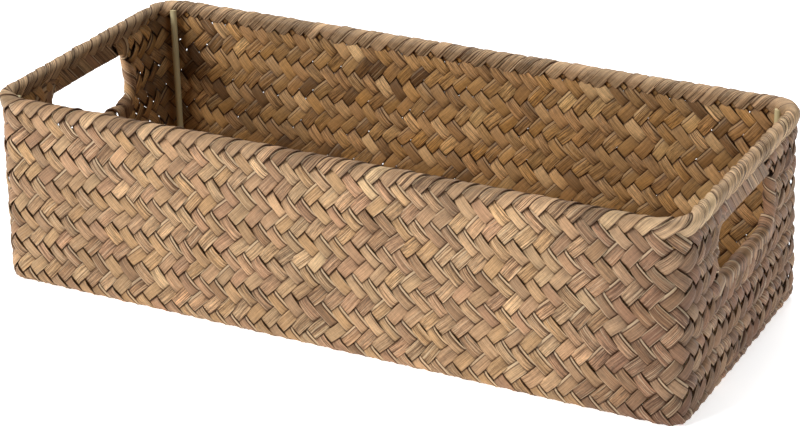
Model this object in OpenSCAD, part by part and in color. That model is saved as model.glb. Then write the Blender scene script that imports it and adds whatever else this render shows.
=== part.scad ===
// Rectangular bread basket: bias-plaited leaf walls on a welded wire frame,
// a bound rim, and a hand hole in each end wall.
// Origin: centre of the flat underside. X is the length, Y the width, Z up.
// All sizes are in millimetres.

/* [Basket] */
// Overall length over the rim binding, along X
basket_l = 380; // [320:5:460]
// Overall width over the rim binding, along Y
basket_w = 166; // [140:2:240]
// Overall height, from the underside to the top of the rim
basket_h = 105; // [100:1:140]
// Outer radius of the rim's corners, seen from above
rim_corner_r = 18.5; // [16:0.5:30]

/* [Weave] */
// Thickness of the two plaited layers of a wall
wall_t = 3.8; // [3:0.1:4.4]
// Thickness of the plaited floor
floor_t = 4; // [3:0.1:6]
// How far the rim binding and hand hole wraps stand out past the wall's face
binding_proud = 1; // [0.4:0.1:1.4]

/* [Rim] */
// Thickness of the rim binding, across the wall
rim_t = 6.6; // [6:0.1:8]
// Height of the rim binding
rim_h = 9.5; // [8:0.1:12]

/* [Wire frame] */
// Diameter of the rim wire, base wire and corner posts
wire_d = 3.6; // [2.8:0.1:4]
// Diameter of the wire under each hand hole's lip
handle_wire_d = 3; // [2:0.1:3.4]
// Where each post stands round its corner, from the basket's length towards its width
post_angle = 52; // [30:1:60]

/* [Hand holes] */
// Clear width of the hand hole, along Y
hole_w = 69; // [55:1:80]
// Height of the hand hole's lower edge
hole_bottom = 58; // [50:1:62]
// Height of the hand hole's upper edge
hole_top = 86.5; // [84:0.5:88]
// Radius of the hand hole's lower corners
hole_lower_r = 13; // [6:1:14]
// Radius of the hand hole's upper corners
hole_upper_r = 5; // [3:1:8]
// Width of the wrapped band down each side of the hand hole
wrap_side = 7; // [5:0.5:10]
// Height of the folded lip below the hand hole
wrap_lip = 9; // [6:0.5:12]

/* [Hidden] */

$fn = 64;

// Sides of the basket, as signs along X and Y
LEFT = -1;
RIGHT = 1;
FRONT = -1;
BACK = 1;

// Play round a wire inside its channel, and depth of a weld
channel_gap = 0.05;
weld = 0.3;

// Each corner turns about a vertical axis, here in the back right quadrant
corner_x = basket_l / 2 - rim_corner_r;
corner_y = basket_w / 2 - rim_corner_r;
wall_r = rim_corner_r - binding_proud;
wall_top = basket_h - rim_h;

// Distances in from the rim's outer face to the middle of each wire
rim_mid = rim_t / 2;
frame_inset = rim_mid + wire_d;

rim_wire_z = basket_h - rim_h / 2;
base_wire_z = floor_t + wire_d / 2;
post_r = rim_corner_r - frame_inset;

hole_h = hole_top - hole_bottom;
wrap_w = hole_w + 2 * wrap_side;
wrap_bottom = hole_bottom - wrap_lip;
wrap_lower_r = hole_lower_r + wrap_side;
handle_leg_y = (hole_w + wrap_side) / 2;
handle_bend_r = hole_lower_r + wrap_side / 2;
handle_bar_z = hole_bottom - wrap_side / 2;

LEAF = "tan";
LEAF_RIM = "burlywood";
COATED_WIRE = "darkkhaki";

// Places a shape drawn in the back right quadrant into any quadrant
module in_quadrant(sx, sy) {
    mirror([sx < 0 ? 1 : 0, 0, 0])
        mirror([0, sy < 0 ? 1 : 0, 0])
            children();
}

// Turns a profile a quarter turn about the corner's axis; the profile's x is the radius
module corner_turn() {
    translate([corner_x, corner_y, 0])
        rotate_extrude(angle = 90)
            children();
}

// Runs a profile along a long side; the profile's x is the distance past the corner's axis
module along_length(sy) {
    in_quadrant(RIGHT, sy)
        translate([corner_x, corner_y, 0])
            rotate([90, 0, -90])
                mirror([1, 0, 0])
                    linear_extrude(2 * corner_x)
                        children();
}

// Runs a profile along an end; the profile's x is the distance past the corner's axis
module along_width(sx) {
    in_quadrant(sx, BACK)
        translate([corner_x, corner_y, 0])
            rotate([90, 0, 0])
                linear_extrude(2 * corner_y)
                    children();
}

// ---- wire frame ----

// A closed wire ring that follows the basket's plan
module wire_ring(inset, z) {
    ring_r = rim_corner_r - inset;
    for (sx = [LEFT, RIGHT], sy = [FRONT, BACK])
        in_quadrant(sx, sy)
            corner_turn()
                translate([ring_r, z])
                    circle(d = wire_d);
    for (s = [-1, 1]) {
        along_length(s)
            translate([ring_r, z])
                circle(d = wire_d);
        along_width(s)
            translate([ring_r, z])
                circle(d = wire_d);
    }
}

module rim_wire() {
    color(COATED_WIRE) wire_ring(rim_mid, rim_wire_z);
}

module base_wire() {
    color(COATED_WIRE) wire_ring(frame_inset, base_wire_z);
}

// The upright rod of one corner, or the channel that takes its upper end
module post_rod(sx, sy, d, z_low, z_high) {
    in_quadrant(sx, sy)
        translate([
            corner_x + post_r * cos(post_angle),
            corner_y + post_r * sin(post_angle),
            z_low
        ])
            cylinder(d = d, h = z_high - z_low);
}

module corner_post(sx, sy) {
    color(COATED_WIRE)
        post_rod(sx, sy, wire_d, base_wire_z + wire_d / 2 - weld, rim_wire_z + wire_d / 2);
}

// A bent rod that hangs below the rim wire and runs round the hand hole's sides and lip
module handle_rod(sx, d, leg_high) {
    leg_low = handle_bar_z + handle_bend_r;
    bar_half = handle_leg_y - handle_bend_r;
    translate([sx * (basket_l / 2 - rim_mid), 0, 0]) {
        for (sy = [FRONT, BACK]) {
            translate([0, sy * handle_leg_y, leg_low])
                cylinder(d = d, h = leg_high - leg_low);
            translate([0, sy * bar_half, leg_low])
                rotate([sy > 0 ? 0 : 180, 90, 0])
                    rotate_extrude(angle = 90)
                        translate([handle_bend_r, 0])
                            circle(d = d);
        }
        translate([0, bar_half, handle_bar_z])
            rotate([90, 0, 0])
                cylinder(d = d, h = 2 * bar_half);
    }
}

module handle_wire(sx) {
    color(COATED_WIRE) handle_rod(sx, handle_wire_d, rim_wire_z - wire_d / 2 + weld);
}

// Room for the handle wire inside its wrap and inside the rim binding
module handle_channel(sx) {
    handle_rod(sx, handle_wire_d + 2 * channel_gap, rim_wire_z);
}

// ---- plaited leaf ----

// One quarter of the floor's rounded lower edge, as a profile
module floor_edge() {
    translate([wall_r - floor_t, floor_t])
        intersection() {
            circle(r = floor_t);
            translate([0, -floor_t]) square(floor_t);
        }
}

module floor_weave() {
    plain_l = 2 * corner_x;
    plain_w = 2 * corner_y;
    inner_r = wall_r - floor_t;
    color(LEAF) {
        linear_extrude(floor_t) {
            square([plain_l + 2 * inner_r, plain_w], center = true);
            square([plain_l, plain_w + 2 * inner_r], center = true);
            for (sx = [LEFT, RIGHT], sy = [FRONT, BACK])
                translate([sx * corner_x, sy * corner_y]) circle(r = inner_r);
        }
        for (sx = [LEFT, RIGHT], sy = [FRONT, BACK])
            in_quadrant(sx, sy) corner_turn() floor_edge();
        for (s = [-1, 1]) {
            along_length(s) floor_edge();
            along_width(s) floor_edge();
        }
    }
}

// Section through a wall, from the floor to the rim
module wall_section() {
    translate([wall_r - wall_t, floor_t])
        square([wall_t, wall_top - floor_t]);
}

module wall_long(sy) {
    color(LEAF) along_length(sy) wall_section();
}

module wall_corner(sx, sy) {
    color(LEAF) in_quadrant(sx, sy) corner_turn() wall_section();
}

module wall_end(sx) {
    color(LEAF)
        difference() {
            along_width(sx) wall_section();
            through_end(sx) wrap_outline();
        }
}

// ---- hand holes ----

// A tub-shaped outline: width, lower edge, upper edge, lower and upper corner radii
module tub(w, low, high, lower_r, upper_r) {
    for (s = [-1, 1]) {
        translate([s * (w / 2 - lower_r), low + lower_r]) circle(r = lower_r);
        translate([s * (w / 2 - upper_r), high - upper_r]) circle(r = upper_r);
    }
    translate([-w / 2, low + lower_r])
        square([w, high - low - lower_r - upper_r]);
    translate([-w / 2 + lower_r, low])
        square([w - 2 * lower_r, lower_r]);
    translate([-w / 2 + upper_r, high - upper_r])
        square([w - 2 * upper_r, upper_r]);
}

module hole_outline() {
    tub(hole_w, hole_bottom, hole_top, hole_lower_r, hole_upper_r);
}

// The wrap reaches up to the rim binding, so its upper corners are square
module wrap_outline() {
    tub(wrap_w, wrap_bottom, wall_top, wrap_lower_r, hole_upper_r);
    translate([-wrap_w / 2, wall_top - hole_upper_r])
        square([wrap_w, hole_upper_r]);
}

// Runs an outline drawn in Y and Z right through the end's thickness
module through_end(sx) {
    translate([sx * (basket_l / 2 - rim_mid), 0, 0])
        rotate([90, 0, 90])
            linear_extrude(rim_t, center = true)
                children();
}

module handle_wrap(sx) {
    color(LEAF_RIM)
        difference() {
            through_end(sx)
                difference() {
                    wrap_outline();
                    hole_outline();
                }
            handle_channel(sx);
        }
}

// ---- rim ----

// Section through the rim binding: a round-topped band with a channel for the rim wire
module rim_section() {
    translate([rim_corner_r - rim_mid, 0])
        difference() {
            union() {
                translate([0, basket_h - rim_mid]) circle(d = rim_t);
                translate([-rim_mid, wall_top]) square([rim_t, rim_h - rim_mid]);
            }
            translate([0, rim_wire_z]) circle(d = wire_d + 2 * channel_gap);
        }
}

module rim_binding_long(sy) {
    color(LEAF_RIM) along_length(sy) rim_section();
}

module rim_binding_end(sx) {
    color(LEAF_RIM)
        difference() {
            along_width(sx) rim_section();
            handle_channel(sx);
        }
}

module rim_corner(sx, sy) {
    color(LEAF_RIM)
        difference() {
            in_quadrant(sx, sy) corner_turn() rim_section();
            post_rod(sx, sy, wire_d + 2 * channel_gap, wall_top - 1,
                     rim_wire_z + wire_d / 2 + channel_gap);
        }
}

rim_wire();
base_wire();
corner_post(LEFT, FRONT);  // corner_post_front_left
corner_post(RIGHT, FRONT);  // corner_post_front_right
corner_post(LEFT, BACK);  // corner_post_back_left
corner_post(RIGHT, BACK);  // corner_post_back_right
handle_wire(LEFT);  // handle_wire_left
handle_wire(RIGHT);  // handle_wire_right
floor_weave();
wall_long(FRONT);  // wall_front
wall_long(BACK);  // wall_back
wall_end(LEFT);  // wall_left
wall_end(RIGHT);  // wall_right
wall_corner(LEFT, FRONT);  // wall_corner_front_left
wall_corner(RIGHT, FRONT);  // wall_corner_front_right
wall_corner(LEFT, BACK);  // wall_corner_back_left
wall_corner(RIGHT, BACK);  // wall_corner_back_right
rim_binding_long(FRONT);  // rim_binding_front
rim_binding_long(BACK);  // rim_binding_back
rim_binding_end(LEFT);  // rim_binding_left
rim_binding_end(RIGHT);  // rim_binding_right
rim_corner(LEFT, FRONT);  // rim_corner_front_left
rim_corner(RIGHT, FRONT);  // rim_corner_front_right
rim_corner(LEFT, BACK);  // rim_corner_back_left
rim_corner(RIGHT, BACK);  // rim_corner_back_right
handle_wrap(LEFT);  // handle_wrap_left
handle_wrap(RIGHT);  // handle_wrap_right
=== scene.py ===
"""A rectangular bread basket plaited from flat leaf strips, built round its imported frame.

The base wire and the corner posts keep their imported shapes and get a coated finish. The
rim wire and the handle wires are hidden in the folds that stand for them. Every sheet of
plaited work is made strip by strip: two families of strips climb the walls on the slant, pass
over and under each other in pairs, and the rising family is bound over the rim wire.
"""

import logging
import math
from collections.abc import Callable, Sequence
from dataclasses import dataclass, field
from enum import Enum

import bmesh
import bpy
import numpy as np
from mathutils import Matrix, Vector


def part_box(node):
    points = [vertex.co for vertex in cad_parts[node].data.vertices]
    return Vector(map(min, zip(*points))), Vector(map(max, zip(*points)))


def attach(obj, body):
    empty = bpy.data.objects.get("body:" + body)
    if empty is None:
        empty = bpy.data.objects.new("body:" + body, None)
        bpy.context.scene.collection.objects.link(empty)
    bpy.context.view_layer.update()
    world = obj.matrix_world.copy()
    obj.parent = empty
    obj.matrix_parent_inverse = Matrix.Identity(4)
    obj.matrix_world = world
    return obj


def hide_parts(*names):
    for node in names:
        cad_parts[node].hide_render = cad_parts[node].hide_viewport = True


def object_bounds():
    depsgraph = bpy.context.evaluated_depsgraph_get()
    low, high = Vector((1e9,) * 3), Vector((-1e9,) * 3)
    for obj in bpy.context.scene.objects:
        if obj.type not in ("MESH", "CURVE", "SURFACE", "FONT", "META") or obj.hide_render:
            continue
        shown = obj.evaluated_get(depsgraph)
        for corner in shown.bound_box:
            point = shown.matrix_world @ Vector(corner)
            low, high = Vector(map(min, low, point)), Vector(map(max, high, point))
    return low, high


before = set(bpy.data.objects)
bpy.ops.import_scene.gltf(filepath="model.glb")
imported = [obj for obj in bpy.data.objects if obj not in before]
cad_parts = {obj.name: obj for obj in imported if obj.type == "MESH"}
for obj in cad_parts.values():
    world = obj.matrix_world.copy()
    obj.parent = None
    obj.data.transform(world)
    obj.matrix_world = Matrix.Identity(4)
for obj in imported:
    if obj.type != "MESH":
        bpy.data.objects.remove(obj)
CAD_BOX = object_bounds()

LOG = logging.getLogger("bread_basket")
MM = 0.001
FALLING_NUMBERS = 1000
FLOOR_NUMBERS = 2500
FLOOR_FALLING_NUMBERS = 3000
HOLE_NUMBERS = {"left": 3000, "right": 4000}
RIM_SEEDS = 5000
STRIP_MARK = 64.0
FOLD_MARK = 68.0


class Side(Enum):
    """The four sides, in the order in which the wall sheet runs round the basket."""

    FRONT = "front"
    RIGHT = "right"
    BACK = "back"
    LEFT = "left"


class Slant(Enum):
    """Which way a family of strips leans, seen from outside."""

    RISING = 1
    FALLING = -1


class Slot(Enum):
    """The record's material slots."""

    LEAF = "plaited_leaf"
    BOUND = "bound_leaf"
    WIRE = "coated_wire"


# ---------------------------------------------------------------- shader maths


def _operator(operation: str, swapped: bool = False) -> Callable[..., "Shade"]:
    """Makes a method of Shade that adds one Math node.

    Args:
        operation: the node's operation.
        swapped: whether the other value comes first.

    Returns:
        The method.
    """

    def method(self: "Shade", *others: "Shade | float") -> "Shade":
        """Adds the node and returns its value."""
        values = (*others, self) if swapped else (self, *others)
        return self.graph.node("ShaderNodeMath", {"operation": operation}, dict(enumerate(values)))

    return method


class Shade:
    """A node socket that takes part in Python expressions."""

    __add__ = __radd__ = _operator("ADD")
    __sub__ = _operator("SUBTRACT")
    __rsub__ = _operator("SUBTRACT", swapped=True)
    __mul__ = __rmul__ = _operator("MULTIPLY")
    __truediv__ = _operator("DIVIDE")
    at_least = _operator("MAXIMUM")
    at_most = _operator("MINIMUM")
    floor = _operator("FLOOR")
    fraction = _operator("FRACT")
    size = _operator("ABSOLUTE")

    def __init__(self, graph: "Graph", socket: bpy.types.NodeSocket) -> None:
        """Wraps an output socket of one node graph."""
        self.graph = graph
        self.socket = socket

    def step_between(self, low: float, high: float) -> "Shade":
        """A smooth step from 0 to 1.

        Args:
            low: the value at which the step starts.
            high: the value at which it ends.

        Returns:
            The step's value.
        """
        return self.graph.node(
            "ShaderNodeMapRange",
            {"interpolation_type": "SMOOTHSTEP"},
            {"Value": self, "From Min": low, "From Max": high},
        )


class Graph:
    """The node graph of one material."""

    def __init__(self, name: str) -> None:
        """Makes an empty material with an output node.

        Args:
            name: the material's name.
        """
        self.material = bpy.data.materials.new(name)
        self.material.use_nodes = True
        self.tree = self.material.node_tree
        self.tree.nodes.clear()
        self.output = self.tree.nodes.new("ShaderNodeOutputMaterial")

    def node(
        self,
        kind: str,
        settings: dict[str, object] | None = None,
        inputs: dict[int | str, object] | None = None,
        output: int | str = 0,
    ) -> Shade:
        """Adds a node.

        Args:
            kind: the node's type.
            settings: properties to set first. "stops" fills a colour ramp.
            inputs: a value or a link for each named or numbered input.
            output: the output to return.

        Returns:
            The chosen output.
        """
        made = self.tree.nodes.new(kind)
        for key, value in (settings or {}).items():
            if key == "stops":
                self._fill_ramp(made.color_ramp, value)
            else:
                setattr(made, key, value)
        for key, value in (inputs or {}).items():
            socket = made.inputs[key]
            if isinstance(value, Shade):
                self.tree.links.new(value.socket, socket)
            else:
                socket.default_value = value
        return Shade(self, made.outputs[output])

    @staticmethod
    def _fill_ramp(ramp: bpy.types.ColorRamp, stops: Sequence[tuple[float, Sequence[float]]]) -> None:
        """Sets a colour ramp's stops.

        Args:
            ramp: the colour ramp.
            stops: a place and a colour for each stop.
        """
        while len(ramp.elements) < len(stops):
            ramp.elements.new(1.0)
        for element, (place, colour) in zip(ramp.elements, stops):
            element.position = place
            element.color = (*colour, 1.0)

    def mix(self, factor: Shade | float, first: object, second: object, blend: str = "MIX") -> Shade:
        """Mixes two colours.

        Args:
            factor: how much of the second colour shows.
            first: a colour or a link.
            second: a colour or a link.
            blend: the way of mixing.

        Returns:
            The mixed colour.
        """
        return self.node(
            "ShaderNodeMix",
            {"data_type": "RGBA", "blend_type": blend},
            {0: factor, 6: first, 7: second},
            output=2,
        )

    def parts(self, vector: Shade) -> tuple[Shade, Shade]:
        """The first two numbers of a vector."""
        split = self.node("ShaderNodeSeparateXYZ", None, {0: vector}).socket.node
        return Shade(self, split.outputs[0]), Shade(self, split.outputs[1])

    def vector(self, x: Shade, y: Shade, z: Shade) -> Shade:
        """Joins three values in a vector."""
        return self.node("ShaderNodeCombineXYZ", None, {0: x, 1: y, 2: z})

    def scaled(self, colour: Shade, amount: Shade) -> Shade:
        """A colour made lighter or darker by a value."""
        return self.node("ShaderNodeVectorMath", {"operation": "SCALE"}, {0: colour, "Scale": amount})

    def noise(self, vector: Shade, scale: float, detail: float = 2.0, roughness: float = 0.5) -> Shade:
        """A noise value, about 0.5 on average.

        Args:
            vector: where the noise is read.
            scale: its scale.
            detail: its number of octaves.
            roughness: how strong the finer octaves are.

        Returns:
            The noise value.
        """
        return self.node(
            "ShaderNodeTexNoise",
            {"noise_dimensions": "3D"},
            {"Vector": vector, "Scale": scale, "Detail": detail, "Roughness": roughness},
        )

    def chance(self, x: Shade, y: Shade | float = 0.0) -> Shade:
        """An even random value from 0 to 1 for each pair of whole numbers."""
        place = self.node("ShaderNodeCombineXYZ", None, {0: x, 1: y})
        return self.node("ShaderNodeTexWhiteNoise", {"noise_dimensions": "2D"}, {"Vector": place})

    def grain(
        self, spot: "Spot", along: float, across: float, seed: Shade, detail: float, roughness: float
    ) -> Shade:
        """A noise value drawn out along a strip.

        Args:
            spot: the place's values.
            along: how fast the noise changes along the strip.
            across: how fast it changes across it.
            seed: keeps each exposed length's noise apart from the next.
            detail: its number of octaves.
            roughness: how strong the finer octaves are.

        Returns:
            The noise value.
        """
        place = self.vector(spot.along * along, spot.across * across, seed)
        return self.noise(place, 1.0, detail, roughness)

    def surface(
        self, colour: object, rough: Shade, normal: Shade | None, specular: float, glow: float = 0.0
    ) -> bpy.types.Material:
        """Ends the graph in a shader.

        Args:
            colour: the surface's colour or its link.
            rough: its roughness.
            normal: its normal, or None for a plain surface.
            specular: how strongly it reflects.
            glow: how strongly it glows, in white.

        Returns:
            The finished material.
        """
        inputs = {"Base Color": colour, "Roughness": rough, "Specular IOR Level": specular}
        if normal is not None:
            inputs["Normal"] = normal
        if glow > 0:
            inputs |= {"Emission Color": (1.0, 1.0, 1.0, 1.0), "Emission Strength": glow}
        shader = self.node("ShaderNodeBsdfPrincipled", None, inputs)
        self.tree.links.new(shader.socket, self.output.inputs["Surface"])
        return self.material


Colour = tuple[float, float, float]


def linear(red: int, green: int, blue: int) -> Colour:
    """Turns a colour of the usual 0 to 255 scale into the linear one that shaders use."""
    shares = (red / 255, green / 255, blue / 255)
    return tuple(share / 12.92 if share < 0.0405 else ((share + 0.055) / 1.055) ** 2.4 for share in shares)


Tones = tuple[tuple[float, Colour], ...]


@dataclass(frozen=True)
class Spot:
    """What a leaf finish knows of each place on a strip.

    The UV map "strip" counts crossings along a strip in u. Its v is the strip's number
    plus the place across it. Every second exposed length shows inside the basket. The
    attribute "ply" is 1 or -1 where a strip has a second ply along its upper or its
    lower edge in v.
    """

    along: Shade
    across: Shade
    strip: Shade
    patch: Shade
    off_middle: Shade
    off_end: Shade
    inside: Shade
    ply: Shade

    @classmethod
    def read(cls, g: Graph) -> "Spot":
        """Reads the UV map and the attribute.

        Args:
            g: the material's graph.

        Returns:
            The place's values.
        """
        along, lane = g.parts(g.node("ShaderNodeUVMap", {"uv_map": "strip"}))
        across = lane.fraction()
        length = (along + 1.0) * 0.5
        patch = length.floor()
        return cls(
            along=along,
            across=across,
            strip=lane.floor(),
            patch=patch,
            off_middle=(across - 0.5).size(),
            off_end=(length.fraction() - 0.5).size(),
            inside=(patch * 0.5).fraction() * 2.0,
            ply=g.node("ShaderNodeAttribute", {"attribute_name": "ply"}, output="Fac"),
        )

    def chance(self, g: Graph, seed: float, each_length: float | None = None) -> Shade:
        """A random value from 0 to 1 for each strip, or for each exposed length.

        Args:
            g: the material's graph.
            seed: keeps one draw apart from the next.
            each_length: the same for the exposed lengths, or None for whole strips.

        Returns:
            The value.
        """
        if each_length is None:
            return g.chance(self.strip + seed)
        return g.chance(self.strip + seed, self.patch + each_length)


@dataclass(frozen=True)
class LeafFinish:
    """Dried leaf strips: tones that differ from strip to strip, with fibres along them."""

    name: str
    tones: Tones
    inside_tones: Tones
    streaks: float = 0.55
    lines: float = 0.60
    roughness: float = 0.60
    bump: float = 0.00040
    # Painted sheen: inside, the rising and the falling strips are tinted apart.
    rising_painted_sheen: Colour = (1.09, 1.10, 1.20)
    falling_painted_sheen: Colour = (0.95, 0.92, 0.86)
    seam: float = 0.452
    pale_lines: float = 0.45
    lighten: float = 0.05
    # Painted light on the rim's back and ends.
    painted_back_and_end_light: float = 0.0
    # Painted shade on the outside of the right end, a little red.
    painted_end_shade: float = 0.0
    painted_end_shade_tint: Colour = (0.10, 0.00, 0.05)
    # The colour of the painted light.
    painted_light_colour: Colour = linear(232, 198, 156)
    crack_colour: Colour = linear(84, 52, 31)
    # Painted shade in the gaps between strips and in fold lines.
    painted_gap_shade: Colour = linear(72, 41, 23)
    # Pale fibre lines, and painted highlights along edges.
    pale_line_and_highlight_colour: Colour = linear(222, 198, 162)

    def build(self) -> bpy.types.Material:
        """Builds the material."""
        g = Graph(self.name)
        spot = Spot.read(g)
        toned = self._painted_light_and_shade(g, spot, self._tone(g, spot))
        toned, height, streak = self._fibres(g, spot, toned)
        # Painted highlights show less inside, which lies in shade.
        edge_share = 1.0 - spot.inside * 0.55
        toned = self._second_ply(g, spot, toned, edge_share)
        toned = self._edges(g, spot, toned, edge_share)
        bump = g.node("ShaderNodeBump", None, {"Strength": 0.9, "Distance": self.bump, "Height": height})
        return g.surface(toned, (streak - 0.5) * 0.35 + self.roughness, bump, specular=0.30)

    def _tone(self, g: Graph, spot: Spot) -> Shade:
        """The plain colour of each exposed length of each strip.

        Args:
            g: the material's graph.
            spot: the place's values.

        Returns:
            The colour.
        """
        by_strip, by_length, along_basket = 0.45, 0.65, 0.55
        stain_scale, stain_depth, lowest = 17.0, 0.46, 0.76
        strip_depth, length_depth = 0.10, 0.26
        place = g.node("ShaderNodeTexCoord", output="Object")
        stain = g.noise(place, stain_scale, 2.0)
        place_x, _ = g.parts(place)
        pick = spot.chance(g, 0.0) * by_strip + spot.chance(g, 0.5, 0.0) * by_length - 0.05
        pick = (pick + place_x * along_basket).at_least(0.0)
        tone = g.mix(
            spot.inside,
            g.node("ShaderNodeValToRGB", {"stops": self.tones}, {0: pick}),
            g.node("ShaderNodeValToRGB", {"stops": self.inside_tones}, {0: pick}),
        )
        depth = spot.chance(g, 5.5) * strip_depth + spot.chance(g, 9.5, 0.0) * length_depth
        return g.scaled(tone, depth + (stain - 0.5) * stain_depth + lowest)

    def _painted_light_and_shade(self, g: Graph, spot: Spot, base: Shade) -> Shade:
        """Paints shade on the right end's outside, light on the rim's back and ends, and a sheen inside.

        Args:
            g: the material's graph.
            spot: the place's values.
            base: the plain colour.

        Returns:
            The colour.
        """
        shade_from, shade_ramp = 0.120, 22.0
        back_offset, back_ramp = 0.4, 14.0
        ends_from, ends_ramp, ends_most = 0.166, 50.0, 0.7
        place_x, place_y = g.parts(g.node("ShaderNodeTexCoord", output="Object"))
        right_end = ((place_x - shade_from) * shade_ramp).at_least(0.0).at_most(1.0)
        outside = 1.0 - spot.inside
        # Painted shade on the outside of the right end.
        base = g.mix(right_end * outside * self.painted_end_shade, base, (*self.painted_end_shade_tint, 1.0), "MULTIPLY")
        # Painted light: the back and the ends are made paler.
        back = (place_y * back_ramp - back_offset).at_most(1.0).at_least(0.0)
        both_ends = ((place_x.size() - ends_from) * ends_ramp).at_most(ends_most)
        base = g.mix(back.at_least(both_ends) * self.painted_back_and_end_light, base, (*self.painted_light_colour, 1.0))
        # Painted sheen on the inside, which differs between the two families.
        falling = (spot.strip / FALLING_NUMBERS).floor().at_most(1.0)
        painted_sheen = g.mix(falling, (*self.rising_painted_sheen, 1.0), (*self.falling_painted_sheen, 1.0))
        return g.mix(spot.inside, base, painted_sheen, "MULTIPLY")

    def _fibres(self, g: Graph, spot: Spot, base: Shade) -> tuple[Shade, Shade, Shade]:
        """Adds streaks, hairs, dark cracks and pale lines along the strips, and painted shade towards each
        exposed length's ends.

        Args:
            g: the material's graph.
            spot: the place's values.
            base: the colour so far.

        Returns:
            The colour, the height of the surface, and the streaks' value.
        """
        seed = spot.strip * 3.7 + spot.patch * 0.91
        streak = g.grain(spot, 0.30, 4.5, seed, 2.0, 0.55)
        line = g.grain(spot, 0.22, 15.0, seed * 1.3, 2.0, 0.6)
        hair = g.grain(spot, 1.1, 25.0, seed * 0.7, 3.0, 0.75)
        cross = g.grain(spot, 6.0, 1.2, seed * 2.1, 2.0, 0.5)
        coarse = spot.chance(g, 7.5, 0.0).step_between(0.05, 0.95)

        strength = coarse * 0.85 + 0.45
        streak_gain, hair_gain, cross_gain, painted_shade_at_ends = 2.4 * self.streaks, 3.4, 0.45, 0.9
        shade = (streak - 0.5) * strength * streak_gain + (hair - 0.5) * strength * hair_gain + 1.02
        # Painted shade: each exposed length darkens towards its ends, where it passes under crossing strips.
        shade = shade + (cross - 0.5) * cross_gain - spot.off_end * spot.off_end * painted_shade_at_ends
        toned = g.scaled(base, shade.at_least(0.25) + self.lighten)
        crack = line.step_between(0.53, 0.63) * strength * self.lines
        toned = g.mix(crack.at_most(1.0), toned, (*self.crack_colour, 1.0))
        pale = (1.0 - line).step_between(0.56, 0.70) * (coarse + 0.3)
        toned = g.mix(pale * (1.0 - spot.inside * 0.5) * self.pale_lines, toned, (*self.pale_line_and_highlight_colour, 1.0))
        height = streak * 0.5 + line * 0.35 + hair * 0.15 - crack * 0.4
        return toned, height, streak

    def _second_ply(self, g: Graph, spot: Spot, toned: Shade, edge_share: Shade) -> Shade:
        """Paints shade in the fold line of a second ply, and a highlight along its outer edge.

        Args:
            g: the material's graph.
            spot: the place's values.
            toned: the colour so far.
            edge_share: how strongly the painted highlights show.

        Returns:
            The colour.
        """
        fold_place, fold_sharpness = 0.265, 22.0
        outer_sharpness, outer_share, fold_share = 16.0, 0.42, 0.85
        fold = spot.across - 0.5 - spot.ply * fold_place
        has_ply = spot.ply.size()
        fold_line = (1.0 - (fold.size() * fold_sharpness).step_between(0.25, 1.0)) * has_ply
        outer = (fold * spot.ply * outer_sharpness).step_between(0.4, 1.2) * has_ply
        # Painted highlight along the second ply's outer edge.
        toned = g.mix(outer * edge_share * outer_share, toned, (*self.pale_line_and_highlight_colour, 1.0))
        # Painted shade in the second ply's fold line.
        return g.mix(fold_line * fold_share, toned, (*self.painted_gap_shade, 1.0))

    def _edges(self, g: Graph, spot: Spot, toned: Shade, edge_share: Shade) -> Shade:
        """Paints highlights along some edges, and shade in the gaps beside and between exposed lengths.

        Args:
            g: the material's graph.
            spot: the place's values.
            toned: the colour so far.
            edge_share: how strongly the painted highlights show.

        Returns:
            The colour.
        """
        pale_share, gap_share, seam_width = 0.5, 0.80, 0.03
        # Painted highlight along the edges of some exposed lengths.
        rim = spot.off_middle.step_between(0.405, 0.455)
        lit = spot.chance(g, 3.5, 0.5).step_between(0.5, 0.9)
        toned = g.mix(rim * lit * edge_share * pale_share, toned, (*self.pale_line_and_highlight_colour, 1.0))
        # Painted shade in the gaps beside and between exposed lengths.
        side = spot.off_middle.step_between(self.seam, self.seam + seam_width)
        toned = g.mix(side * gap_share, toned, (*self.painted_gap_shade, 1.0))
        ends = spot.off_end.step_between(0.40, 0.485)
        return g.mix(ends * gap_share, toned, (*self.painted_gap_shade, 1.0))


@dataclass(frozen=True)
class CoatedWireFinish:
    """A satin coating on wire, a little uneven and dusty."""

    name: str
    colour: Colour
    worn: Colour
    roughness: float = 0.34
    cloud_scale: float = 90.0
    grain_scale: float = 900.0
    wear: float = 0.5

    def build(self) -> bpy.types.Material:
        """Builds the material."""
        g = Graph(self.name)
        place = g.node("ShaderNodeTexCoord", output="Object")
        cloud = g.noise(place, self.cloud_scale, 3.0)
        grain = g.noise(place, self.grain_scale, 2.0)
        worn = cloud.step_between(0.45, 0.75) * self.wear
        colour = g.mix(worn, (*self.colour, 1.0), (*self.worn, 1.0))
        bump = g.node("ShaderNodeBump", None, {"Strength": 0.25, "Distance": 0.0001, "Height": grain})
        return g.surface(colour, (cloud - 0.5) * 0.35 + self.roughness, bump, specular=0.5)


@dataclass(frozen=True)
class BackdropFinish:
    """A plain pale floor that glows, so that shadows on it stay light."""

    name: str
    colour: Colour
    glow: float = 0.70
    roughness: float = 0.92

    def build(self) -> bpy.types.Material:
        """Builds the material."""
        g = Graph(self.name)
        place = g.node("ShaderNodeTexCoord", output="Object")
        mottle = (g.noise(place, 3.0, 2.0) - 0.5) * 0.02 + self.roughness
        return g.surface((*self.colour, 1.0), mottle, None, specular=0.1, glow=self.glow)


# ---------------------------------------------------------------- the sheets' shapes


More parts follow.
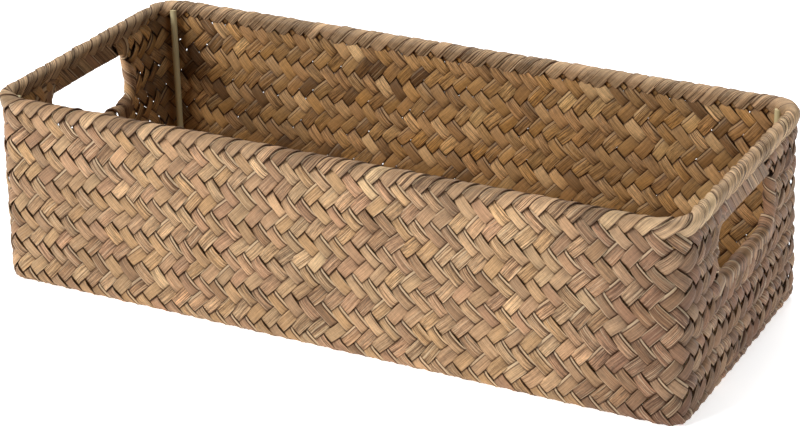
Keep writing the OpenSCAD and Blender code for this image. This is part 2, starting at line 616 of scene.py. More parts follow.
@dataclass(frozen=True)
class Shell:
    """The middle of the plaited wall, as one sheet that closes round the basket.

    A place on it is s, the distance round the basket from the front wall's left end, and
    h, the height. Below the turn, h goes on round the base edge and in under the floor.
    """

    half_l: float
    half_w: float
    height: float
    rim_r: float
    base_r: float
    turn_r: float
    floor_z: float
    flare: float
    spread: float
    tilt: float
    sway: float

    @property
    def mean_r(self) -> float:
        """The corner radius by which s is counted."""
        return 0.5 * (self.rim_r + self.base_r)

    @property
    def bounds(self) -> np.ndarray:
        """The s at which each straight and each corner starts, and the whole way round."""
        long_side = 2 * (self.half_l - self.mean_r)
        short_side = 2 * (self.half_w - self.mean_r)
        corner = 0.5 * math.pi * self.mean_r
        return np.cumsum([0, long_side, corner, short_side, corner, long_side, corner, short_side, corner])

    @property
    def around(self) -> float:
        """The distance right round the basket."""
        return float(self.bounds[-1])

    def side_at(self, s: float) -> Side:
        """The side that an s lies on, with the corner that follows it."""
        part = int(np.searchsorted(self.bounds, s % self.around, side="right")) - 1
        return list(Side)[min(part // 2, 3)]

    @property
    def end_centres(self) -> tuple[float, float]:
        """The s of the middle of the right end and of the left end."""
        bounds = self.bounds
        return float(0.5 * (bounds[2] + bounds[3])), float(0.5 * (bounds[6] + bounds[7]))

    def away(self, s: np.ndarray, other: float) -> np.ndarray:
        """How far each s is from another, the shorter way round."""
        return np.mod(s - other + 0.5 * self.around, self.around) - 0.5 * self.around

    def corner_radius(self, h: np.ndarray) -> np.ndarray:
        """The corners' radius at each height: tight at the base, wider at the rim."""
        share = np.clip(h / self.height, 0, 1)
        return self.base_r + (self.rim_r - self.base_r) * share ** 1.2

    def bulge(self, s: np.ndarray, h: np.ndarray) -> np.ndarray:
        """How far the hand-made wall strays outwards.

        Args:
            s: distances round the basket.
            h: heights.

        Returns:
            The stray distance at each place.
        """
        turn = 2 * math.pi * s / self.around
        rise = np.clip(h / self.height, 0, 1)
        slow = np.sin(3 * turn + 0.7 + 1.9 * rise) + 0.8 * np.sin(7 * turn + 2.1 - 2.6 * rise)
        quick = 0.5 * np.sin(13 * turn + 4.0 + 5.0 * rise) + 0.35 * np.sin(23 * turn + 1.0 - 7.0 * rise)
        return self.sway * (slow + quick) * (0.35 + 0.65 * np.sin(math.pi * np.clip(rise, 0.05, 1)))

    def place(self, s: np.ndarray, h: np.ndarray, n: np.ndarray) -> np.ndarray:
        """Finds points near the sheet.

        Args:
            s: distances round the basket.
            h: heights.
            n: distances out from the sheet.

        Returns:
            One row of x, y and z for each point.
        """
        s = np.mod(s, self.around)
        turn_start = self.floor_z + self.turn_r
        turned = np.clip((turn_start - h) / self.turn_r, 0, 0.5 * math.pi)
        flat = np.maximum(turn_start - h - self.turn_r * 0.5 * math.pi, 0)
        inward = self.turn_r * (1 - np.cos(turned)) + flat
        z = np.where(h > turn_start, h, turn_start - self.turn_r * np.sin(turned))

        bounds = self.bounds
        part = np.clip(np.searchsorted(bounds, s, side="right") - 1, 0, 7)
        share = (s - bounds[part]) / (bounds[part + 1] - bounds[part])
        sign_x = np.array([-1, 1, 1, 1, 1, -1, -1, -1, -1])
        sign_y = np.array([-1, -1, -1, 1, 1, 1, 1, -1, -1])
        from_x, to_x = sign_x[part], sign_x[part + 1]
        from_y, to_y = sign_y[part], sign_y[part + 1]
        corner = part % 2 == 1
        facing = 0.5 * math.pi * (part // 2 - 1 + np.where(corner, share, 0.0))

        radius = self.corner_radius(h)
        half_l = self.half_l + self.flare * np.clip(1 - h / self.height, 0, 1)
        axis_x = (half_l - radius) * (from_x + (to_x - from_x) * share)
        axis_y = (self.half_w - radius) * (from_y + (to_y - from_y) * share)
        reach = radius - inward + (n + self.bulge(s, h)) * np.cos(turned)
        x = axis_x + reach * np.cos(facing)
        y = axis_y + reach * np.sin(facing)
        z = z - n * np.sin(turned)
        x = x + self.spread * np.clip(x / self.half_l, 0, 1) * np.clip(1 - z / self.height, 0, 1)
        forward = np.where(y > 0, 1.0, 0.5 - 0.5 * x / self.half_l)
        z = z + self.tilt * np.clip(z / self.height, 0, 1.1) * forward * y / self.half_w
        return np.stack([x, y, z], axis=1)

    def end_s(self, side: Side, across: np.ndarray, h: np.ndarray) -> np.ndarray:
        """The s of places on an end wall.

        Args:
            side: the left or the right end.
            across: distances from the end's middle, towards greater s.
            h: heights.

        Returns:
            The s of each place.
        """
        part = 2 if side is Side.RIGHT else 6
        low, high = self.bounds[part], self.bounds[part + 1]
        half = self.half_w - self.corner_radius(h)
        return 0.5 * (low + high) + 0.5 * (high - low) * across / half


@dataclass(frozen=True)
class Wave:
    """How a strip passes over two crossings and under two."""

    lift: float
    crown: float
    firmness: float = 1.9

    def level(self, along: np.ndarray) -> np.ndarray:
        """1 where a strip is outermost, at each whole multiple of four crossings, and -1 between."""
        return np.tanh(self.firmness * np.cos(0.5 * math.pi * along)) / math.tanh(self.firmness)

    def offset(self, along: np.ndarray, across: np.ndarray, lean: np.ndarray) -> np.ndarray:
        """How far out a strip lies.

        Args:
            along: places along the strip, in crossings.
            across: places across it, from -1 to 1.
            lean: how far its right edge stands above its left edge.

        Returns:
            Distances out from the sheet.
        """
        return self.level(along) * (self.lift + self.crown * (1 - across ** 2) + 0.5 * lean * across)


class Habit:
    """One strip's own small differences, which drift from each exposed length to the next.

    half_width and drift, its stray sideways, are in crossings. lean is how far one edge
    stands above the other, and lift is its share of the usual lift.
    """

    def __init__(self, seed: int, width: float, ply_chance: float) -> None:
        """Draws the differences.

        Args:
            seed: the strip's own seed.
            width: the usual width, as a share of the strips' pitch.
            ply_chance: how likely the strip shows a second ply.
        """
        chance = np.random.default_rng(seed)
        self._centres = np.arange(-8, 40, 2.0)
        count = len(self._centres)
        width_share = chance.normal(1.0, 0.025) * chance.normal(1.0, 0.032, count)
        self.half_width = self._varying(0.5 * width * width_share)
        self.drift = self._varying(chance.normal(0.0, 0.030, count))
        self.lean = self._varying(chance.normal(0.32, 0.36, count) * MM)
        self.lift = self._varying(1 + chance.normal(0.0, 0.10, count))
        self.has_ply = chance.random() < ply_chance

    def _varying(self, values: np.ndarray) -> Callable[[np.ndarray], np.ndarray]:
        """A function that reads off a value at each place along the strip, in crossings."""
        return lambda count: np.interp(count, self._centres, values)


@dataclass
class StripSet:
    """Collects the strips of one piece in one mesh."""

    name: str
    lanes: tuple[float, ...] = (-1.0, -0.90, 0.0, 0.50, 0.60, 0.92, 1.0)
    shape: bmesh.types.BMesh = field(default_factory=bmesh.new)
    marks: list[np.ndarray] = field(default_factory=list)
    plies: list[np.ndarray] = field(default_factory=list)

    def add(
        self,
        number: int,
        stations: np.ndarray,
        place: Callable[[np.ndarray, np.ndarray], tuple[np.ndarray, np.ndarray]],
        ply: int = 0,
    ) -> None:
        """Adds one strip.

        Args:
            number: the strip's number, which picks its tone.
            stations: the places along the strip at which it is divided.
            place: takes places along and places across, from -1 to 1, and gives points
                and the marks along the strip that the finish reads.
            ply: 1 or -1 where a second ply shows along the upper or the lower edge.
        """
        segments = len(self.lanes) - 1
        made = bmesh.ops.create_grid(
            self.shape, x_segments=len(stations) - 1, y_segments=segments, size=1.0
        )["verts"]
        raw = np.array([vertex.co[:2] for vertex in made])
        station = np.rint(0.5 * (raw[:, 0] + 1) * (len(stations) - 1)).astype(int)
        lane = np.rint(0.5 * (raw[:, 1] + 1) * segments).astype(int)
        across = np.array(self.lanes)[lane] * (-1 if ply < 0 else 1)
        points, along = place(stations[station], across)
        for vertex, point in zip(made, points.tolist()):
            vertex.co = point
        self.marks.append(np.stack([along, number + 0.5 + 0.47 * across], axis=1))
        self.plies.append(np.full(len(made), float(ply)))

    def finish(self, material: bpy.types.Material, thickness: float) -> bpy.types.Object:
        """Turns the strips into one object.

        Args:
            material: its finish.
            thickness: the strips' thickness.

        Returns:
            The new object.
        """
        mesh = bpy.data.meshes.new(self.name)
        self.shape.to_mesh(mesh)
        self.shape.free()
        corner_vertex = np.zeros(len(mesh.loops), np.int32)
        mesh.loops.foreach_get("vertex_index", corner_vertex)
        marks = np.concatenate(self.marks)[corner_vertex]
        layer = mesh.uv_layers.new(name="strip")
        layer.data.foreach_set("uv", marks.astype(np.float32).ravel())
        ply = mesh.attributes.new("ply", "FLOAT", "POINT")
        ply.data.foreach_set("value", np.concatenate(self.plies).astype(np.float32))
        mesh.polygons.foreach_set("use_smooth", np.ones(len(mesh.polygons), bool))
        mesh.materials.append(material)
        made = bpy.data.objects.new(self.name, mesh)
        bpy.context.scene.collection.objects.link(made)
        solid = made.modifiers.new("thickness", "SOLIDIFY")
        solid.thickness = thickness
        solid.offset = 0.0
        return made


def ply_step(across: np.ndarray, ply: int, depth: float) -> np.ndarray:
    """How far a strip's second ply lies below its first.

    Args:
        across: places across the strip, from -1 to 1.
        ply: which edge it shows along, or 0.
        depth: the step's depth.

    Returns:
        The drop at each place.
    """
    if not ply:
        return 0.0 * across
    return depth * (across * ply > 0.55) * (1.25 - 0.25 * (across * ply > 0.7))


class Pleats:
    """Small creases along one folded strip."""

    def __init__(self, chance: np.random.Generator, depth: float) -> None:
        """Draws the creases' heights.

        Args:
            chance: where the heights come from.
            depth: their usual size.
        """
        self._places = np.linspace(-1, 1, 9)
        self._heights = chance.normal(0.0, depth, 9)

    def height(self, across: np.ndarray) -> np.ndarray:
        """How far the strip stands out at each place across it."""
        return np.interp(across, self._places, self._heights)


FOLD_LANES = (-1.0, -0.92, -0.66, -0.42, -0.18, 0.06, 0.30, 0.50, 0.60, 0.92, 1.0)


def outside_runs(inside: np.ndarray) -> list[tuple[float, float]]:
    """Finds the stretches of a strip that stay.

    Args:
        inside: for even places along the strip, whether each is inside an opening.

    Returns:
        The start and the end of each stretch outside it, as shares of the length.
    """
    keep = np.concatenate([[False], ~inside, [False]]).astype(int)
    starts = np.flatnonzero(np.diff(keep) == 1)
    ends = np.flatnonzero(np.diff(keep) == -1) - 1
    last = len(inside) - 1
    return [(a / last, b / last) for a, b in zip(starts, ends) if b - a > 4]


def divided(places: np.ndarray, low: float, high: float) -> np.ndarray:
    """Divides a strip at its ends and at the places between that are clear of them.

    Args:
        places: where it could be divided, in crossings.
        low: where it starts.
        high: where it ends.

    Returns:
        The divisions.
    """
    clear = 0.08
    inner = places[(places > low + clear) & (places < high - clear)]
    return np.concatenate([[low], inner, [high]])


@dataclass(frozen=True)
class Twill:
    """The lattice of crossings: two families of strips, in pairs over and under."""

    columns: int
    pitch_s: float
    pitch_h: float
    rising_mark: float
    stray: float = 0.60 * MM

    def locate(
        self, slant: Slant, number: float, across: np.ndarray, count: np.ndarray
    ) -> tuple[np.ndarray, np.ndarray]:
        """Finds the s and h of places on a strip.

        Args:
            slant: the strip's family.
            number: the strip's number.
            across: places across it, in crossings from its middle.
            count: crossings counted up along it from the base.

        Returns:
            The s and the h of each place.
        """
        lean = slant.value
        s = self.pitch_s * (2 * number + across + lean * count) / 2
        h = self.pitch_h * (count - lean * across) / 2
        ramp, calm_from = 14 * MM, 92 * MM
        calm = np.clip(h / ramp, 0, 1) * np.clip((calm_from - h) / ramp, 0, 1)
        turn = 2 * math.pi * s / (self.columns * self.pitch_s)
        stray_s = np.sin(11 * turn + 60 * h) + 0.7 * np.sin(29 * turn - 95 * h + 2.0)
        stray_h = np.sin(9 * turn - 70 * h + 1.0) + 0.7 * np.sin(31 * turn + 85 * h)
        return s + self.stray * stray_s * calm, h + self.stray * stray_h * calm

    def middle(self, slant: Slant, number: int, count: float) -> float:
        """The s of a strip's middle line, so many crossings up."""
        return float(self.locate(slant, number, np.zeros(1), np.array([count]))[0][0])

    def along(self, slant: Slant, count: np.ndarray) -> np.ndarray:
        """Places along a strip, counted from the middle of a length that shows outside."""
        return count - self.rising_mark + (0.0 if slant is Slant.RISING else 2.0)

    def stations(self, slant: Slant, low: float, high: float) -> np.ndarray:
        """Where a strip is divided: closest where it passes between over and under.

        Args:
            slant: the strip's family, which is not used.
            low: where the strip starts, in crossings.
            high: where it ends.

        Returns:
            The divisions, in crossings.
        """
        first = self.rising_mark + 1.0
        cells = first + 2.0 * np.arange(-14, 14)
        steps = np.array([-0.55, -0.30, -0.10, 0.10, 0.30, 0.55, 1.0])
        return divided(np.unique(np.round((cells[:, None] + steps[None, :]).ravel(), 4)), low, high)


# ---------------------------------------------------------------- sub-assemblies


@dataclass
class HandHole:
    """The hand hole of one end: its outline in the end's plane."""

    width: float
    low: float
    high: float
    lower_r: float
    upper_r: float
    splay: float
    centre: float
    near_nose: float

    def over(self, across: np.ndarray, h: np.ndarray) -> np.ndarray:
        """Says which places lie right above the hole, where only its folds and the rim's are.

        Args:
            across: distances from the end's middle.
            h: heights.

        Returns:
            Whether each place does.
        """
        margin, reach = 6 * MM, 18 * MM
        between = np.abs(across - self.centre) < 0.5 * self.width - margin
        return between & (h > self.high) & (h < self.high + reach)

    def spread(self, h: np.ndarray) -> np.ndarray:
        """How much wider than at the top the hole is at each height."""
        return 1 + self.splay * np.clip((self.high - h) / (self.high - self.low), 0, 1.3)

    def inside(self, across: np.ndarray, h: np.ndarray, grow: float) -> np.ndarray:
        """Says which places lie inside the outline.

        Args:
            across: distances from the end's middle.
            h: heights.
            grow: the margin by which the outline is grown.

        Returns:
            Whether each place does.
        """
        half = 0.5 * self.width + grow
        middle = 0.5 * (self.low + self.high)
        tall = 0.5 * (self.high - self.low) + grow
        radius = np.where(h < middle, self.lower_r, self.upper_r) + grow
        across = (across - self.centre) / self.spread(h)
        dx = np.maximum(np.abs(across) - (half - radius), 0)
        dy = np.maximum(np.abs(h - middle) - (tall - radius), 0)
        return (dx ** 2 + dy ** 2 < radius ** 2) & (np.abs(across) < half) & (np.abs(h - middle) < tall)

    def edge(self, way: np.ndarray) -> tuple[np.ndarray, np.ndarray, np.ndarray, np.ndarray]:
        """Follows the outline, from the middle of its lower edge towards greater s.

        Args:
            way: distances along the outline.

        Returns:
            Across, height, and the across and height parts of the way out of the hole.
        """
        half, low, high = 0.5 * self.width, self.low, self.high
        lower, upper = self.lower_r, self.upper_r
        quarter = 0.5 * math.pi
        upright = high - low - lower - upper
        lengths = np.array([
            half - lower, quarter * lower, upright, quarter * upper, 2 * (half - upper),
            quarter * upper, upright, quarter * lower, half - lower,
        ])
        bounds = np.concatenate([[0.0], np.cumsum(lengths)])
        way = np.mod(way, bounds[-1])
        part = np.clip(np.searchsorted(bounds, way, side="right") - 1, 0, 8)
        share = (way - bounds[part]) / lengths[part]
        starts = np.array([
            (0, low), (half - lower, low + lower), (half, low + lower), (half - upper, high - upper),
            (half - upper, high), (upper - half, high - upper), (-half, high - upper),
            (lower - half, low + lower), (lower - half, low),
        ])
        radii = np.array([0, lower, 0, upper, 0, upper, 0, lower, 0])[part]
        facing = quarter * (np.array([-1, -1, 0, 0, 1, 1, 2, 2, 3])[part] + np.where(radii > 0, share, 0.0))
        out_a, out_h = np.cos(facing), np.sin(facing)
        run = np.where(radii > 0, 0.0, share * lengths[part])
        across = starts[part, 0] + radii * out_a - out_h * run
        height = starts[part, 1] + radii * out_h + out_a * run
        return across * self.spread(height) + self.centre, height, out_a, out_h

    @property
    def around(self) -> float:
        """The outline's length."""
        straight = 2 * (self.width + self.high - self.low) - 4 * (self.lower_r + self.upper_r)
        return straight + math.pi * (self.lower_r + self.upper_r)


@dataclass
class PlaitedWalls:
    """The four walls, strip by strip."""

    shell: Shell
    twill: Twill
    holes: dict[Side, HandHole]
    wave: Wave
    finish: LeafFinish
    thickness: float = 0.62 * MM
    hole_margin: float = 3.4 * MM
    tuck: float = 7.0 * MM
    top: float = 99.6 * MM
    long_width: float = 1.0
    end_width: float = 0.90
    loose_width: float = 0.87
    right_relief: float = 0.75
    left_relief: float = 0.25

    def build(self) -> dict[tuple[Side, Slant], bpy.types.Object]:
        """Makes two pieces for each side, one of each family of strips."""
        material = self.finish.build()
        sets = {
            (side, slant): StripSet(f"{side.value}_wall_{slant.name.lower()}_strips")
            for side in Side
            for slant in Slant
        }
        for slant in Slant:
            for number in range(self.twill.columns):
                self._strip(sets, slant, number)
        return {key: made.finish(material, self.thickness) for key, made in sets.items()}

    def relief(self, s: np.ndarray) -> np.ndarray:
        """How much deeper the plait is at each place: deepest on the ends.

        Args:
            s: distances round the basket.

        Returns:
            The factor at each place.
        """
        ends_within, ramp = 78 * MM, 18 * MM
        deeper = np.ones_like(s)
        for centre, gain in zip(self.shell.end_centres, (self.right_relief, self.left_relief)):
            to_end = np.abs(self.shell.away(s, centre))
            deeper = deeper + gain * np.clip((ends_within - to_end) / ramp, 0, 1)
        return deeper

    def habit(self, slant: Slant, number: int, side: Side) -> Habit:
        """Draws the small differences of one strip.

        Args:
            slant: the strip's family.
            number: its number.
            side: the side that its middle lies on.

        Returns:
            The differences.
        """
        width = {Side.RIGHT: self.end_width, Side.LEFT: self.loose_width}.get(side, self.long_width)
        ply_chance = 0.42 if slant is Slant.FALLING else 0.16
        seed = number % self.twill.columns + FALLING_NUMBERS * (slant is Slant.FALLING)
        return Habit(seed, width, ply_chance)

    def _strip(self, sets: dict[tuple[Side, Slant], StripSet], slant: Slant, number: int) -> None:
        """Adds one strip, cut where it meets a hand hole.

        Args:
            sets: where the strips go, by side and family.
            slant: the strip's family.
            number: its number.
        """
        twill, shell = self.twill, self.shell
        low = 2 * -self.tuck / twill.pitch_h
        high = twill.rising_mark + 3.1 if slant is Slant.RISING else 2 * self.top / twill.pitch_h
        side = shell.side_at(twill.middle(slant, number, 0.5 * (low + high)))
        habit = self.habit(slant, number, side)
        ply = -slant.value if habit.has_ply else 0

        trial = np.linspace(low, high, 400)
        trial_s, trial_h = twill.locate(slant, number, np.zeros_like(trial), trial)
        cut = np.zeros(len(trial), bool)
        for end, centre in zip((Side.RIGHT, Side.LEFT), shell.end_centres):
            away = shell.away(trial_s, centre)
            hole = self.holes[end]
            cut |= hole.inside(away, trial_h, self.hole_margin) | hole.over(away, trial_h)

        def place(count: np.ndarray, across: np.ndarray) -> tuple[np.ndarray, np.ndarray]:
            """Puts the strip's grid on the wall.

            Args:
                count: places along the strip, in crossings.
                across: places across it, from -1 to 1.

            Returns:
                The points, and the marks that the finish reads.
            """
            sideways = habit.half_width(count) * across + habit.drift(count)
            s, h = twill.locate(slant, number, sideways, count)
            along = twill.along(slant, count)
            n = self.wave.offset(along, across, habit.lean(count)) * habit.lift(count)
            n = n - ply_step(across, ply, 0.38 * MM) * np.sign(self.wave.level(along))
            n = n * np.clip((h + 1.5 * MM) / (8 * MM), 0.10, 1) * self.relief(s)
            return shell.place(s, h, n), along + STRIP_MARK

        for start, end in outside_runs(cut):
            stations = twill.stations(slant, low + start * (high - low), low + end * (high - low))
            sets[side, slant].add(number + FALLING_NUMBERS * (slant is Slant.FALLING), stations, place, ply)


@dataclass(frozen=True)
class RimSection:
    """The rim binding's section: up the outside, over the wire, and down the inside."""

    shell: Shell
    low: float
    axis_h: float
    radius: float
    inner_low: float
    flat: float
    post_s: tuple[float, ...]
    post_bulge: float

    @property
    def length(self) -> float:
        """The distance right over the rim, from its outer lower edge."""
        return self.axis_h - self.low + math.pi * self.radius + self.axis_h - self.inner_low

    def place(self, s: np.ndarray, gone: np.ndarray, out: np.ndarray) -> np.ndarray:
        """Finds points on the binding.

        Args:
            s: distances round the basket.
            gone: distances over the rim from its outer lower edge, negative below it.
            out: distances out from the section.

        Returns:
            One row of x, y and z for each point.
        """
        upright = self.axis_h - self.low
        over = math.pi * self.radius
        angle = np.clip((gone - upright) / self.radius, 0, math.pi)
        outer = gone < upright
        inner = gone > upright + over
        below = np.where(outer, upright - gone, np.where(inner, gone - upright - over, 0.0))
        settle = np.clip(below / (self.axis_h - self.low), 0, 1.3)
        width = self.radius + out - self.flat * settle
        n = width * np.cos(angle)
        h = self.axis_h + (self.radius + out) * np.sin(angle) - below
        for post in self.post_s:
            share = np.exp(-((self.shell.away(s, post) / (4.4 * MM)) ** 2))
            n = n - self.post_bulge * share * np.clip(-np.cos(angle), 0, 1)
        return self.shell.place(s, h, n)


@dataclass
class RimBinding:
    """The rising strips, folded over the rim wire side by side."""

    section: RimSection
    twill: Twill
    walls: PlaitedWalls
    finish: LeafFinish
    thickness: float = 0.62 * MM
    width: float = 1.03
    leans: dict[Side, float] = field(
        default_factory=lambda: {Side.FRONT: 0.65, Side.RIGHT: 1.25, Side.BACK: 0.55, Side.LEFT: 0.35}
    )

    def build(self) -> dict[Side, bpy.types.Object]:
        """Makes one piece for each side's folds."""
        material = self.finish.build()
        sets = {side: StripSet(f"{side.value}_rim_folds", FOLD_LANES) for side in Side}
        shell, twill = self.section.shell, self.twill
        start = twill.rising_mark + 2.9
        for number in range(twill.columns):
            side = shell.side_at(twill.middle(Slant.RISING, number, start + 2.0))
            self._fold(sets[side], number, start)
        return {side: made.finish(material, self.thickness) for side, made in sets.items()}

    def _fold(self, target: StripSet, number: int, start: float) -> None:
        """Adds one fold over the rim.

        Args:
            target: the strips of the fold's piece.
            number: the fold's number.
            start: where it comes out from under the wall's strips, in crossings.
        """
        twill, section = self.twill, self.section
        chance = np.random.default_rng(RIM_SEEDS + number)
        wall_side = section.shell.side_at(twill.middle(Slant.RISING, number, 0.5 * start))
        habit = self.walls.habit(Slant.RISING, number, wall_side)
        side = section.shell.side_at(twill.middle(Slant.RISING, number, start + 2.0))
        end = start + 2 * section.length / twill.pitch_h + chance.uniform(-0.45, 0.25)
        grow = self.width * chance.uniform(0.97, 1.05)
        lean = chance.uniform(0.75, 1.25) * self.leans[side] * MM
        crown = chance.uniform(0.05, 0.28) * self.leans[side] * MM
        rise = chance.uniform(-0.15, 0.22) * MM
        pleats = Pleats(chance, 0.13 * MM)
        twist = chance.uniform(-0.10, 0.10)
        ply = -1 if chance.random() < 0.45 else 0

        def place(count: np.ndarray, across: np.ndarray) -> tuple[np.ndarray, np.ndarray]:
            """Puts the fold's grid on the rim's section.

            Args:
                count: places along the strip, in crossings.
                across: places across it, from -1 to 1.

            Returns:
                The points, and the marks that the finish reads.
            """
            share = (count - start) / (end - start)
            settled = np.clip(share / 0.15, 0, 1)
            half = habit.half_width(count) * (1 - settled) + 0.5 * grow * settled
            sideways = half * across + habit.drift(count) * (1 - settled) + twist * (share - 0.3)
            s, h = twill.locate(Slant.RISING, number, sideways, count)
            dive_in = 1 - np.clip((count - start - 0.05) / 0.75, 0, 1)
            dive_out = np.clip(1 - (end - count) / 0.5, 0, 1)
            sink = (section.radius - section.flat) * dive_in ** 2 + 1.1 * MM * dive_out ** 2
            out = rise * settled + 0.5 * lean * across + crown * (1 - across ** 2) - sink
            out = out + pleats.height(across) * settled
            out = out - ply_step(across, ply, 0.30 * MM)
            return section.place(s, h - section.low, out), FOLD_MARK + 1.70 * (share - 0.5)

        stations = np.concatenate([
            start + np.array([0.0, 0.2, 0.4, 0.6, 0.85]),
            np.linspace(start + 1.15, end - 0.6, 15),
            [end - 0.4, end - 0.2, end],
        ])
        target.add(number, stations, place, ply)


@dataclass
class HandHoleWrap:
    """Strip ends folded over one hand hole's edge, all round it."""

    side: Side
    shell: Shell
    hole: HandHole
    finish: LeafFinish
    wire_nose: float = 2.5 * MM
    bare_nose: float = 1.55 * MM
    low_reach: float = 12.5 * MM
    high_reach: float = 13.0 * MM
    side_reach: float = 8.0 * MM
    corner_reach: float = 2.6 * MM
    pitch: float = 7.4 * MM
    slant: float = 0.95
    thickness: float = 0.62 * MM

    def build(self) -> bpy.types.Object:
        """Makes the folds of one hole."""
        made = StripSet(f"{self.side.value}_hand_hole_folds", FOLD_LANES)
        folds = round(self.hole.around / self.pitch)
        for number in range(folds):
            self._fold(made, number, self.hole.around / folds)
        return made.finish(self.finish.build(), self.thickness)

    def _fold(self, made: StripSet, number: int, pitch: float) -> None:
        """Adds one fold.

        Args:
            made: the piece's strips.
            number: the fold's number.
            pitch: the distance from fold to fold.
        """
        seed = number + HOLE_NUMBERS[self.side.value]
        chance = np.random.default_rng(seed)
        _, _, centre_a, centre_h = self.hole.edge(np.array([number * pitch]))
        above, below = max(float(centre_h[0]), 0.0), max(-float(centre_h[0]), 0.0)
        beside = abs(float(centre_a[0]))
        half_width = 0.5 * pitch * chance.uniform(1.02, 1.14)
        lean = chance.uniform(0.7, 1.2) * MM * (1 + 0.6 * below)
        crown = chance.uniform(0.05, 0.30) * MM + 0.45 * MM * below
        pleats = Pleats(chance, 0.12 * MM)
        stretch = chance.uniform(0.82, 1.12)
        rise = chance.uniform(-0.1, 0.3) * MM
        ply = 1 if chance.random() < 0.6 else 0
        nose = self.wire_nose + (self.bare_nose - self.wire_nose) * above
        if float(centre_a[0]) < -0.7:
            nose = self.hole.near_nose
        reach = self.side_reach * beside ** 2 + self.low_reach * below ** 2 + self.high_reach * above ** 2
        reach = reach * (stretch if above < 0.5 else 1.0)
        reach = reach + self.corner_reach * (2 * beside * float(centre_h[0])) ** 2
        calm = 1 - 0.8 * above
        slant = self.slant * (above ** 2 + 0.35 * below ** 2 - beside ** 2)
        flat = 0.55 * nose * (1 - above)

        def place(gone: np.ndarray, across: np.ndarray) -> tuple[np.ndarray, np.ndarray]:
            """Puts the fold's grid round the edge.

            Args:
                gone: distances over the edge, negative outside the basket.
                across: places across it, from -1 to 1.

            Returns:
                The points, and the marks that the finish reads.
            """
            half_turn = 0.5 * math.pi * nose
            turn = np.clip(gone / half_turn, -1, 1) * 0.5 * math.pi
            flank = np.maximum(np.abs(gone) - half_turn, 0)
            share = np.clip(flank / (reach - nose), 0, 1)
            depth = nose * (1 - np.cos(turn)) + flank
            dive = np.clip((share - 0.72) / 0.28, 0, 1) ** 2 * (1.9 * MM if above < 0.5 else 0.7 * MM)
            out = -np.sin(turn) * (nose - flat * share) + np.sign(gone) * dive
            lift = rise + crown * (1 - across ** 2) - ply_step(across, ply, 0.3 * MM) + pleats.height(across)
            lift = lift * calm + 0.5 * lean * across * (calm + 0.6 * above * share)
            depth = depth - lift * np.cos(turn)
            out = out - lift * np.sin(turn) * (1 - 0.5 * share)
            way = number * pitch + across * half_width * (1 - 0.12 * share) - slant * gone
            a, h, dir_a, dir_h = self.hole.edge(way)
            a, h = a + dir_a * depth, h + dir_h * depth
            s = self.shell.end_s(self.side, a, h)
            return self.shell.place(s, h, out), FOLD_MARK + 0.9 * gone / (reach + half_turn)

        half_turn = 0.5 * math.pi * nose
        far = reach - nose + half_turn
        flank_steps = np.linspace(half_turn, far, 8)[1:]
        stations = np.concatenate([-flank_steps[::-1], np.linspace(-half_turn, half_turn, 9), flank_steps])
        made.add(seed, stations, place, ply)


@dataclass
class PlaitedFloor:
    """The floor, plaited from strips that cross it on the slant."""

    half_l: float
    half_w: float
    corner_r: float
    middle_z: float
    pitch: float
    wave: Wave
    finish: LeafFinish
    thickness: float = 0.6 * MM
    width: float = 0.97

    def build(self) -> bpy.types.Object:
        """Makes the floor's strips."""
        made = StripSet("floor_strips", lanes=(-1.0, -0.85, 0.85, 1.0))
        reach = math.ceil((self.half_l + self.half_w) / self.pitch)
        for slant in Slant:
            for number in range(-reach, reach + 1):
                self._strip(made, slant, number)
        return made.finish(self.finish.build(), self.thickness)

    def _inside(self, x: np.ndarray, y: np.ndarray) -> np.ndarray:
        """Says which places lie on the floor.

        Args:
            x: places along it.
            y: places across it.

        Returns:
            Whether each place does.
        """
        dx = np.maximum(np.abs(x) - (self.half_l - self.corner_r), 0)
        dy = np.maximum(np.abs(y) - (self.half_w - self.corner_r), 0)
        return dx ** 2 + dy ** 2 < self.corner_r ** 2

    def _strip(self, made: StripSet, slant: Slant, number: int) -> None:
        """Adds one strip, if any of it lies on the floor.

        Args:
            made: the floor's strips.
            slant: the strip's family.
            number: its number.
        """
        seed = number + (FLOOR_NUMBERS if slant is Slant.RISING else FLOOR_FALLING_NUMBERS)
        habit = Habit(seed, self.width, 0.0)
        lattice = Twill(1, self.pitch, self.pitch, 0.0, 0.0)
        far = 2 * self.half_w / self.pitch
        trial = np.linspace(-far, far, 500)
        x, y = lattice.locate(slant, number, np.zeros_like(trial), trial)
        runs = outside_runs(~self._inside(x, y))
        if not runs:
            return
        low = -far + runs[0][0] * 2 * far
        high = -far + runs[0][1] * 2 * far
        shift = 0.5 if slant is Slant.RISING else 2.5

        def place(count: np.ndarray, across: np.ndarray) -> tuple[np.ndarray, np.ndarray]:
            """Puts the strip's grid on the floor.

            Args:
                count: places along the strip, in crossings.
                across: places across it, from -1 to 1.

            Returns:
                The points, and the marks that the finish reads.
            """
            px, py = lattice.locate(slant, number, habit.half_width(count) * across, count)
            along = count - shift
            z = self.middle_z + self.wave.offset(along, across, habit.lean(count))
            return np.stack([px, py, z], axis=1), along + STRIP_MARK

        cells = shift + 1.0 + 2.0 * np.arange(-60, 60)
        steps = np.array([-0.5, -0.15, 0.15, 0.5, 1.0])
        made.add(seed, divided(np.sort((cells[:, None] + steps[None, :]).ravel()), low, high), place)


@dataclass
class WireFrame:
    """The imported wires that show, with a coated finish."""

    finish: CoatedWireFinish
    nodes: tuple[str, ...]

    def dress(self) -> None:
        """Gives each packed wire its finish."""
        material = self.finish.build()
        for name in self.nodes:
            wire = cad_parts[name]
            wire.data.materials.clear()
            wire.data.materials.append(material)


# ---------------------------------------------------------------- studio


